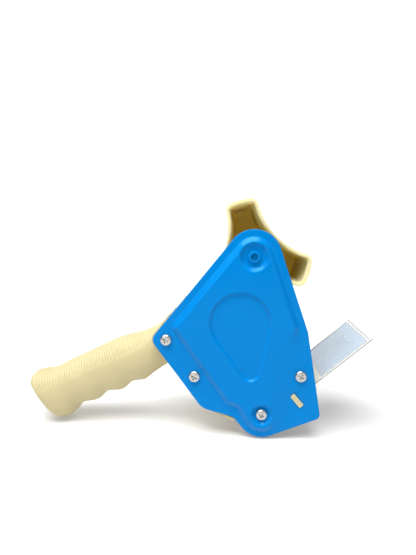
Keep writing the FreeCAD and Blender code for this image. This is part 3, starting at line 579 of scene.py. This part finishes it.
class Look:
    """A procedural material built from a few kinds of node, in object coordinates (metres)."""

    def __init__(self, name, **fixed):
        self.material = bpy.data.materials.new(name)
        self.material.use_nodes = True
        self.tree = self.material.node_tree
        self.shader = self.tree.nodes["Principled BSDF"]
        for key, value in fixed.items():
            self.shader.inputs[key.replace("_", " ")].default_value = value
        self.place = self.tree.nodes.new("ShaderNodeTexCoord").outputs["Object"]

    def add(self, kind, inputs=(), **settings):
        """A node of the given kind; an input is linked if it is a socket, and set otherwise."""
        node = self.tree.nodes.new(kind)
        for key, value in settings.items():
            setattr(node, key, value)
        for key, value in dict(inputs).items():
            if isinstance(value, bpy.types.NodeSocket):
                self.tree.links.new(value, node.inputs[key])
            else:
                node.inputs[key].default_value = value
        return node

    def noise(self, scale, detail=3.0, stretch=None, turn=0.0, distortion=0.0):
        """Noise at a scale per metre, drawn out by `stretch` after a turn about the tape's axis."""
        place = self.place
        if stretch:
            place = self.add("ShaderNodeMapping", {"Vector": place, "Scale": stretch,
                                                   "Rotation": (0, turn, 0)}).outputs[0]
        return self.add("ShaderNodeTexNoise", {"Vector": place, "Scale": scale, "Detail": detail,
                                               "Distortion": distortion}).outputs[0]

    def ramp(self, fac, stops):
        """A colour ramp; a stop of one number is a grey."""
        node = self.add("ShaderNodeValToRGB", {"Fac": fac})
        elements = node.color_ramp.elements
        for i, (place, color) in enumerate(stops):
            element = elements[i] if i < 2 else elements.new(place)
            element.position = place
            element.color = (*color, 1) if len(color) == 3 else (color[0],) * 3 + (1,)
        return node.outputs["Color"]

    def mix(self, fac, a, b, blend="MIX"):
        """Two colours or colour sockets, mixed."""
        node = self.add("ShaderNodeMix", {0: fac}, data_type="RGBA", blend_type=blend)
        for socket, value in ((node.inputs[6], a), (node.inputs[7], b)):
            if isinstance(value, bpy.types.NodeSocket):
                self.tree.links.new(value, socket)
            else:
                socket.default_value = (*value, 1)
        return node.outputs[2]

    def bump(self, height, strength, distance, under=None):
        """A bump of the given depth in mm, on top of the one `under` it."""
        inputs = {"Height": height, "Strength": strength, "Distance": distance * MM}
        if under:
            inputs["Normal"] = under
        return self.add("ShaderNodeBump", inputs).outputs[0]

    def wire(self, **sockets):
        """Links the sockets to the shader's inputs and gives the finished material."""
        for key, value in sockets.items():
            self.tree.links.new(value, self.shader.inputs[key.replace("_", " ")])
        return self.material


def shades(color, spread):
    """Three stops of one colour, darker to lighter."""
    return [(0.3, tuple(c * (1 - spread) for c in color)), (0.52, color),
            (0.72, tuple(min(1.0, c * (1 + spread)) for c in color))]


def enamel(name, color, bore=0.0):
    """Stoved paint; inside the radius `bore` (mm) round the hub's axis the colour turns near black, a painted
    shade standing for the stud's hole.
    """
    look = Look(name, Coat_Weight=0.22, Coat_Roughness=0.12, IOR=1.4, Coat_IOR=1.35,
                Specular_Tint=(0.0, 0.6, 1, 1))
    cloud = look.ramp(look.noise(26, 2.0), shades(color, 0.035))
    speck = look.ramp(look.noise(2400, 1.0), [(0.70, (0, 0, 0)), (0.78, (0.5, 0.5, 0.5))])
    base = look.mix(speck, cloud, tuple(min(1, c * 1.25 + 0.02) for c in color))
    if bore:
        # painted shade: near black inside the stud's hole, where little light reaches
        flat = look.add("ShaderNodeVectorMath", {0: look.place, 1: (1, 0, 1)}, operation="MULTIPLY")
        radius = look.add("ShaderNodeVectorMath", {0: flat.outputs[0], 1: (HUB.x, 0, HUB.z)},
                          operation="DISTANCE")
        inner = look.add("ShaderNodeMapRange", {
            "Value": radius.outputs["Value"], "From Min": bore * MM, "From Max": (bore + 0.15) * MM,
            "To Min": 1.0, "To Max": 0.0})
        base = look.mix(inner.outputs[0], base, (0.02, 0.03, 0.05))
    rough = look.ramp(look.noise(300, 4.0), [(0.3, (0.30,)), (0.7, (0.40,))])
    peel = look.bump(look.noise(520, 2.0), 0.10, 0.06)
    swell = look.bump(look.noise(34, 1.0), 0.25, 0.35, peel)
    return look.wire(Base_Color=base, Roughness=rough, Normal=swell)


def moulded(name, color, rough=(0.42, 0.55), spread=0.045, **fixed):
    """Moulded plastic: faint clouds, streaks along the flow, fine grain and sink."""
    look = Look(name, IOR=1.49, **fixed)
    cloud = look.ramp(look.noise(38, 4.0, distortion=0.6), shades(color, spread))
    streak = look.ramp(look.noise(90, 3.0, stretch=(0.35, 1.0, 2.0), turn=0.41), shades(color, spread * 0.7))
    base = look.mix(0.4, cloud, streak)
    gloss = look.ramp(look.noise(420, 3.0), [(0.3, (rough[0],)), (0.7, (rough[1],))])
    grain = look.bump(look.noise(3200, 2.0), 0.16, 0.03)
    sink = look.bump(look.noise(55, 1.0), 0.15, 0.25, grain)
    return look.wire(Base_Color=base, Roughness=gloss, Normal=sink)


def plated(name, color, rough=(0.22, 0.40), stretch=(1, 1, 1), scale=900):
    """Plated or bright steel with fine lines; `stretch` draws them out along a direction."""
    look = Look(name, Metallic=1.0)
    tint = look.ramp(look.noise(180, 3.0, distortion=1.0),
                     [(0.3, tuple(c * 0.9 for c in color)), (0.55, color),
                      (0.75, (min(1, color[0] * 1.04), color[1], color[2] * 0.93))])
    gloss = look.ramp(look.noise(scale, 4.0, stretch=stretch), [(0.3, (rough[0],)), (0.7, (rough[1],))])
    lines = look.bump(look.noise(scale * 1.6, 2.0, stretch=stretch), 0.10, 0.02)
    return look.wire(Base_Color=tint, Roughness=gloss, Normal=lines)


def rubber(name, color):
    """Dull rubber with grain and faint turning marks."""
    look = Look(name, IOR=1.5)
    base = look.ramp(look.noise(160, 5.0), shades(color, 0.09))
    gloss = look.ramp(look.noise(700, 3.0), [(0.3, (0.62,)), (0.7, (0.82,))])
    grain = look.bump(look.noise(1500, 4.0), 0.35, 0.06)
    rings = look.bump(look.noise(240, 2.0, stretch=(0.1, 6.0, 0.1)), 0.25, 0.04, grain)
    return look.wire(Base_Color=base, Roughness=gloss, Normal=rings)


def clear_sheet(name, color):
    """Clear plastic sheet with scuffs and small pale flecks in patches; its blue-grey is partly its own tint and
    partly painted reflection and shadow seen through it.
    """
    look = Look(name, IOR=1.49, Transmission_Weight=0.35, Coat_Weight=0.3, Coat_Roughness=0.05)
    # blue-grey body: partly the sheet's own tint, partly painted reflection and shadow of what lies behind the
    # clear sheet
    body = look.ramp(look.noise(70, 3.0, stretch=(1.0, 0.25, 1.0)), shades(color, 0.05))
    flecks = look.ramp(look.noise(620, 2.0, stretch=(1.0, 0.25, 1.0), turn=-0.7),
                       [(0.66, (0, 0, 0)), (0.72, (1, 1, 1))])
    fleck_patches = look.ramp(look.noise(60, 2.0), [(0.45, (0, 0, 0)), (0.6, (0.85, 0.85, 0.85))])
    base = look.mix(look.mix(1.0, flecks, fleck_patches, "MULTIPLY"), body, (0.85, 0.88, 0.9))
    gloss = look.ramp(look.noise(500, 5.0, stretch=(0.2, 1.4, 0.2), turn=-0.7),
                      [(0.35, (0.10,)), (0.7, (0.30,))])
    scuff = look.bump(look.noise(900, 3.0, stretch=(0.15, 1.0, 0.15), turn=-0.7), 0.12, 0.02)
    wave = look.bump(look.noise(30, 1.0), 0.3, 0.4, scuff)
    return look.wire(Base_Color=base, Roughness=gloss, Normal=wave)


def build_looks():
    """Every material by name."""
    return {
        "blue_enamel": enamel("blue_enamel", (0.0, 0.175, 0.51)),
        "painted_stud": enamel("painted_stud", (0.0, 0.175, 0.50), bore=2.25),
        "cream_grip": moulded("cream_grip", (0.49, 0.425, 0.228)),
        "cream_hub": moulded("cream_hub", (0.68, 0.61, 0.37), rough=(0.34, 0.46), Subsurface_Weight=0.6,
                              Subsurface_Radius=(1.0, 0.8, 0.16), Subsurface_Scale=0.007),
        "nylon": moulded("nylon", (0.84, 0.82, 0.74), spread=0.02, Subsurface_Weight=0.1),
        "zinc_steel": plated("zinc_steel", (0.55, 0.55, 0.52)),
        "spring_steel": plated("spring_steel", (0.42, 0.42, 0.44)),
        "blade_steel": plated("blade_steel", (0.70, 0.71, 0.73), stretch=(4, 0.12, 4)),
        "roller_moulding": moulded("roller_moulding", (0.74, 0.68, 0.58)),
        "roller_rubber": rubber("roller_rubber", (0.46, 0.38, 0.34)),
        # blue-grey: partly own tint, partly painted reflection and shadow
        "clear_flap": clear_sheet("clear_flap", (0.38, 0.475, 0.58)),
        # the pale rim colour is a painted highlight: the clear sheet's edges catching the light
        "flap_rim": moulded("flap_rim", (0.56, 0.55, 0.49), rough=(0.25, 0.35), spread=0.02),
        # dark grey on the rim's edge faces: painted shade of the clear sheet's edges
        "flap_edge_shade": moulded("flap_edge_shade", (0.24, 0.26, 0.27), rough=(0.2, 0.3), spread=0.03),
    }


# ---------------------------------------------------------------- carried-over CAD parts

SOFT_EDGE = 0.12
SOFT_EDGES = {"tape_hub": 0.4, "blade_holder": 0.35, "flap_clamp": 0.3, "cutting_blade": 0.06,
              "roller_core": 0.2, "roller_sleeve": 0.5}


def finish_cad_node(name, obj, look):
    """Gives a CAD part its finish and small rounded edges; the mesh itself stays as it is."""
    mesh = obj.data
    mesh.materials.clear()
    mesh.materials.append(look)
    if "custom_normal" in mesh.attributes:
        mesh.attributes.remove(mesh.attributes["custom_normal"])
    smooth(obj)
    add_modifier(obj, "WELD", merge_threshold=1e-6)
    add_modifier(obj, "DECIMATE", decimate_type="DISSOLVE", angle_limit=math.radians(0.6))
    soften(obj, SOFT_EDGES.get(name, SOFT_EDGE), segments=3)


# ---------------------------------------------------------------- stage, light and camera (metres)

SWEEP_HALF_WIDTH, SWEEP_FRONT, SWEEP_TOP = 2.6, -1.6, 2.6
CURVE_START, CURVE_R, CURVE_STEPS = 0.9, 0.7, 12
CAMERA_PLACE = (0.03090, -0.29427, 0.13962)
CAMERA_DOWN, CAMERA_LEFT = 5.922, 3.984  # degrees below the level, and to the left of straight ahead
CAMERA_LENS = 25.95


def stage():
    """A pale sweep: floor, a wide curve and a back wall, as one sheet."""
    floor_z = CAD_BOX[0].z
    profile = [(SWEEP_FRONT, 0.0), (CURVE_START, 0.0)]
    for k in range(1, CURVE_STEPS + 1):
        a = math.pi / 2 * k / CURVE_STEPS
        profile.append((CURVE_START + CURVE_R * math.sin(a), CURVE_R * (1 - math.cos(a))))
    profile.append((CURVE_START + CURVE_R, SWEEP_TOP))
    sides = (-SWEEP_HALF_WIDTH, SWEEP_HALF_WIDTH)
    verts = [Vector((x, y, floor_z + z)) for x in sides for y, z in profile]
    n = len(profile)
    mesh = bpy.data.meshes.new("sweep")
    mesh.from_pydata(verts, [], [(k, k + 1, n + k + 1, n + k) for k in range(n - 1)])
    sweep = bpy.data.objects.new("sweep", mesh)
    bpy.context.scene.collection.objects.link(sweep)
    smooth(sweep)
    look = Look("sweep_paper", Specular_IOR_Level=0.1, Emission_Color=(1, 1, 1, 1))
    paper = look.ramp(look.noise(6, 3.0), [(0.3, (0.60, 0.60, 0.60)), (0.7, (0.63, 0.63, 0.63))])
    gloss = look.ramp(look.noise(40, 3.0), [(0.3, (0.8,)), (0.7, (0.95,))])
    depth = look.add("ShaderNodeSeparateXYZ", {"Vector": look.place}).outputs["Y"]
    glow = look.add("ShaderNodeMapRange", {"Value": depth, "From Min": -0.1, "From Max": 0.75,
                                           "To Min": 0.1, "To Max": 0.95}).outputs[0]
    mesh.materials.append(look.wire(Base_Color=paper, Roughness=gloss, Emission_Strength=glow))


def area_light(name, place, target, size, power, color=(1, 1, 1)):
    """A rectangular softbox at a place, aimed at a target."""
    data = bpy.data.lights.new(name, "AREA")
    data.shape = "RECTANGLE"
    data.size, data.size_y = size
    data.energy = power
    data.color = color
    light = bpy.data.objects.new(name, data)
    bpy.context.scene.collection.objects.link(light)
    light.location = place
    light.rotation_euler = (Vector(target) - Vector(place)).to_track_quat("-Z", "Y").to_euler()


def lights():
    """Even white surroundings, one large softbox overhead and two weak ones in front."""
    world = bpy.data.worlds.new("studio")
    bpy.context.scene.world = world
    world.use_nodes = True
    background = world.node_tree.nodes["Background"]
    background.inputs["Color"].default_value = (1.0, 1.0, 1.0, 1)
    background.inputs["Strength"].default_value = 0.12
    middle = (0.0, 0.0, 0.08)
    area_light("overhead_softbox", (-0.15, -0.3, 0.9), middle, (0.9, 0.6), 17.0)
    area_light("front_left_fill", (-0.8, -1.0, 0.6), middle, (0.8, 0.8), 3.5)
    area_light("front_right_fill", (0.9, -1.0, 0.45), middle, (0.8, 0.8), 3.0)


def camera():
    """The camera, in front of the plate and a little above the hub."""
    data = bpy.data.cameras.new("camera")
    data.sensor_width = 36.0
    data.lens = CAMERA_LENS
    data.clip_start = 0.01
    cam = bpy.data.objects.new("camera", data)
    bpy.context.scene.collection.objects.link(cam)
    cam.location = CAMERA_PLACE
    cam.rotation_euler = (math.radians(90 - CAMERA_DOWN), 0.0, math.radians(CAMERA_LEFT))
    bpy.context.scene.camera = cam


# ---------------------------------------------------------------- assembly

def place_piece(obj, look, slot, body, *nodes):
    """Gives a made piece its material, the CAD nodes it stands for, and the body it rides on; the slot argument is
    not used.
    """
    obj.data.materials.append(look)
    if nodes:
        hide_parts(*nodes)
    if body:
        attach(obj, body)


def build():
    """The whole scene."""
    looks = build_looks()
    slots = {p["node"]: p["material_slot"] for p in frame["record"]["subparts"]}
    replaced = {"side_plate", "grip_near_shell", "grip_far_shell", "flap_sheet", "flap_tail",
                "tension_spring"}
    for name, obj in frame["nodes"].items():
        if name not in replaced:
            finish_cad_node(name, obj, looks[slots[name]])
    place_piece(side_plate(), looks["blue_enamel"], "blue_enamel", "frame", "side_plate")
    near, far = grip_shells()
    place_piece(near, looks["cream_grip"], "cream_grip", "frame", "grip_near_shell")
    place_piece(far, looks["cream_grip"], "cream_grip", "frame", "grip_far_shell")
    place_piece(frame_wall(), looks["cream_grip"], "cream_grip", "frame")
    window, rim = flap()
    place_piece(window, looks["clear_flap"], "clear_flap", None, "flap_sheet", "flap_tail")
    # the rim's pale colour is a painted highlight of the sheet's edges
    place_piece(rim, looks["flap_rim"], "clear_flap", None)
    rim.data.materials.append(looks["flap_edge_shade"])
    # the rim's edge faces take the second material, a dark painted shade
    flat = Vector((-math.sin(FLAP_ANGLE), 0, math.cos(FLAP_ANGLE)))
    for face in rim.data.polygons:
        face.material_index = int(abs(face.normal.dot(flat)) < EDGE_FACE)
    for piece in (window, rim):
        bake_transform(piece)
    spring, fixed_end, cup_end = brake_spring()
    place_piece(spring, looks["spring_steel"], "spring_steel", None, "tension_spring")
    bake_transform(spring)
    stage()
    lights()
    camera()
    bpy.context.scene.view_settings.view_transform = "Standard"


build()
